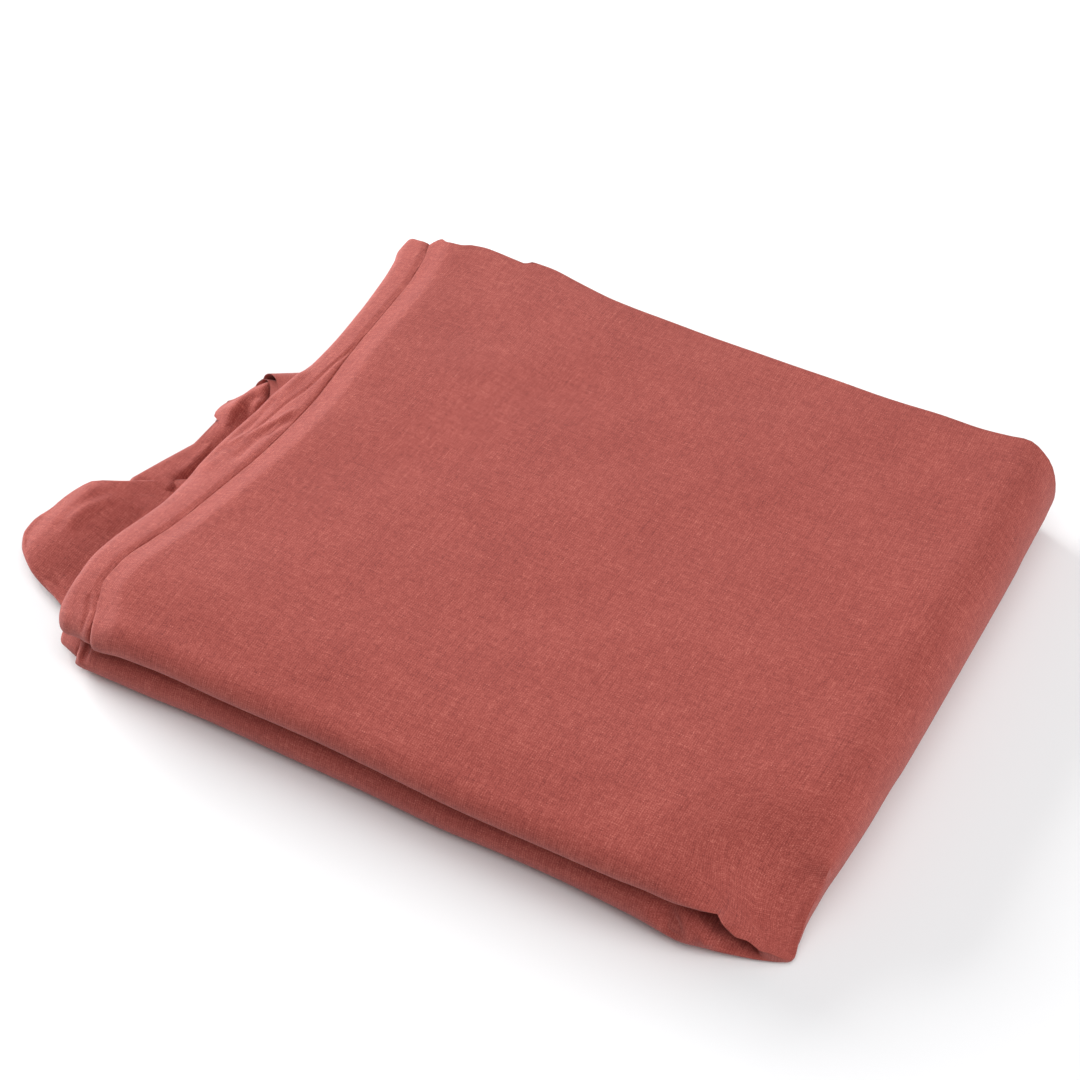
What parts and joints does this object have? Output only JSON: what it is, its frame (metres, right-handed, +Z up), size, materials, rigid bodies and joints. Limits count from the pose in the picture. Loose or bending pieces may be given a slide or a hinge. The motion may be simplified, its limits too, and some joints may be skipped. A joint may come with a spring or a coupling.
{
  "type": "folded turban cloth",
  "caption": "Length of thin cotton turban cloth folded into a flat pack, with rolled folds, a loose end flap and a pressed corner.",
  "frame": {"origin": "on the table under the middle of the folded pack", "axes": "+X along the pack towards its spine fold, +Y from the closed front fold towards the open back edges, +Z up"},
  "size_m": [0.4064, 0.2988, 0.0424],
  "materials": {
    "turban_cloth": "matt plain-woven cotton voile, dusty rose"
  },
  "bodies": {
    "root": {"turban_cloth": "turban_cloth"}
  },
  "joints": []
}
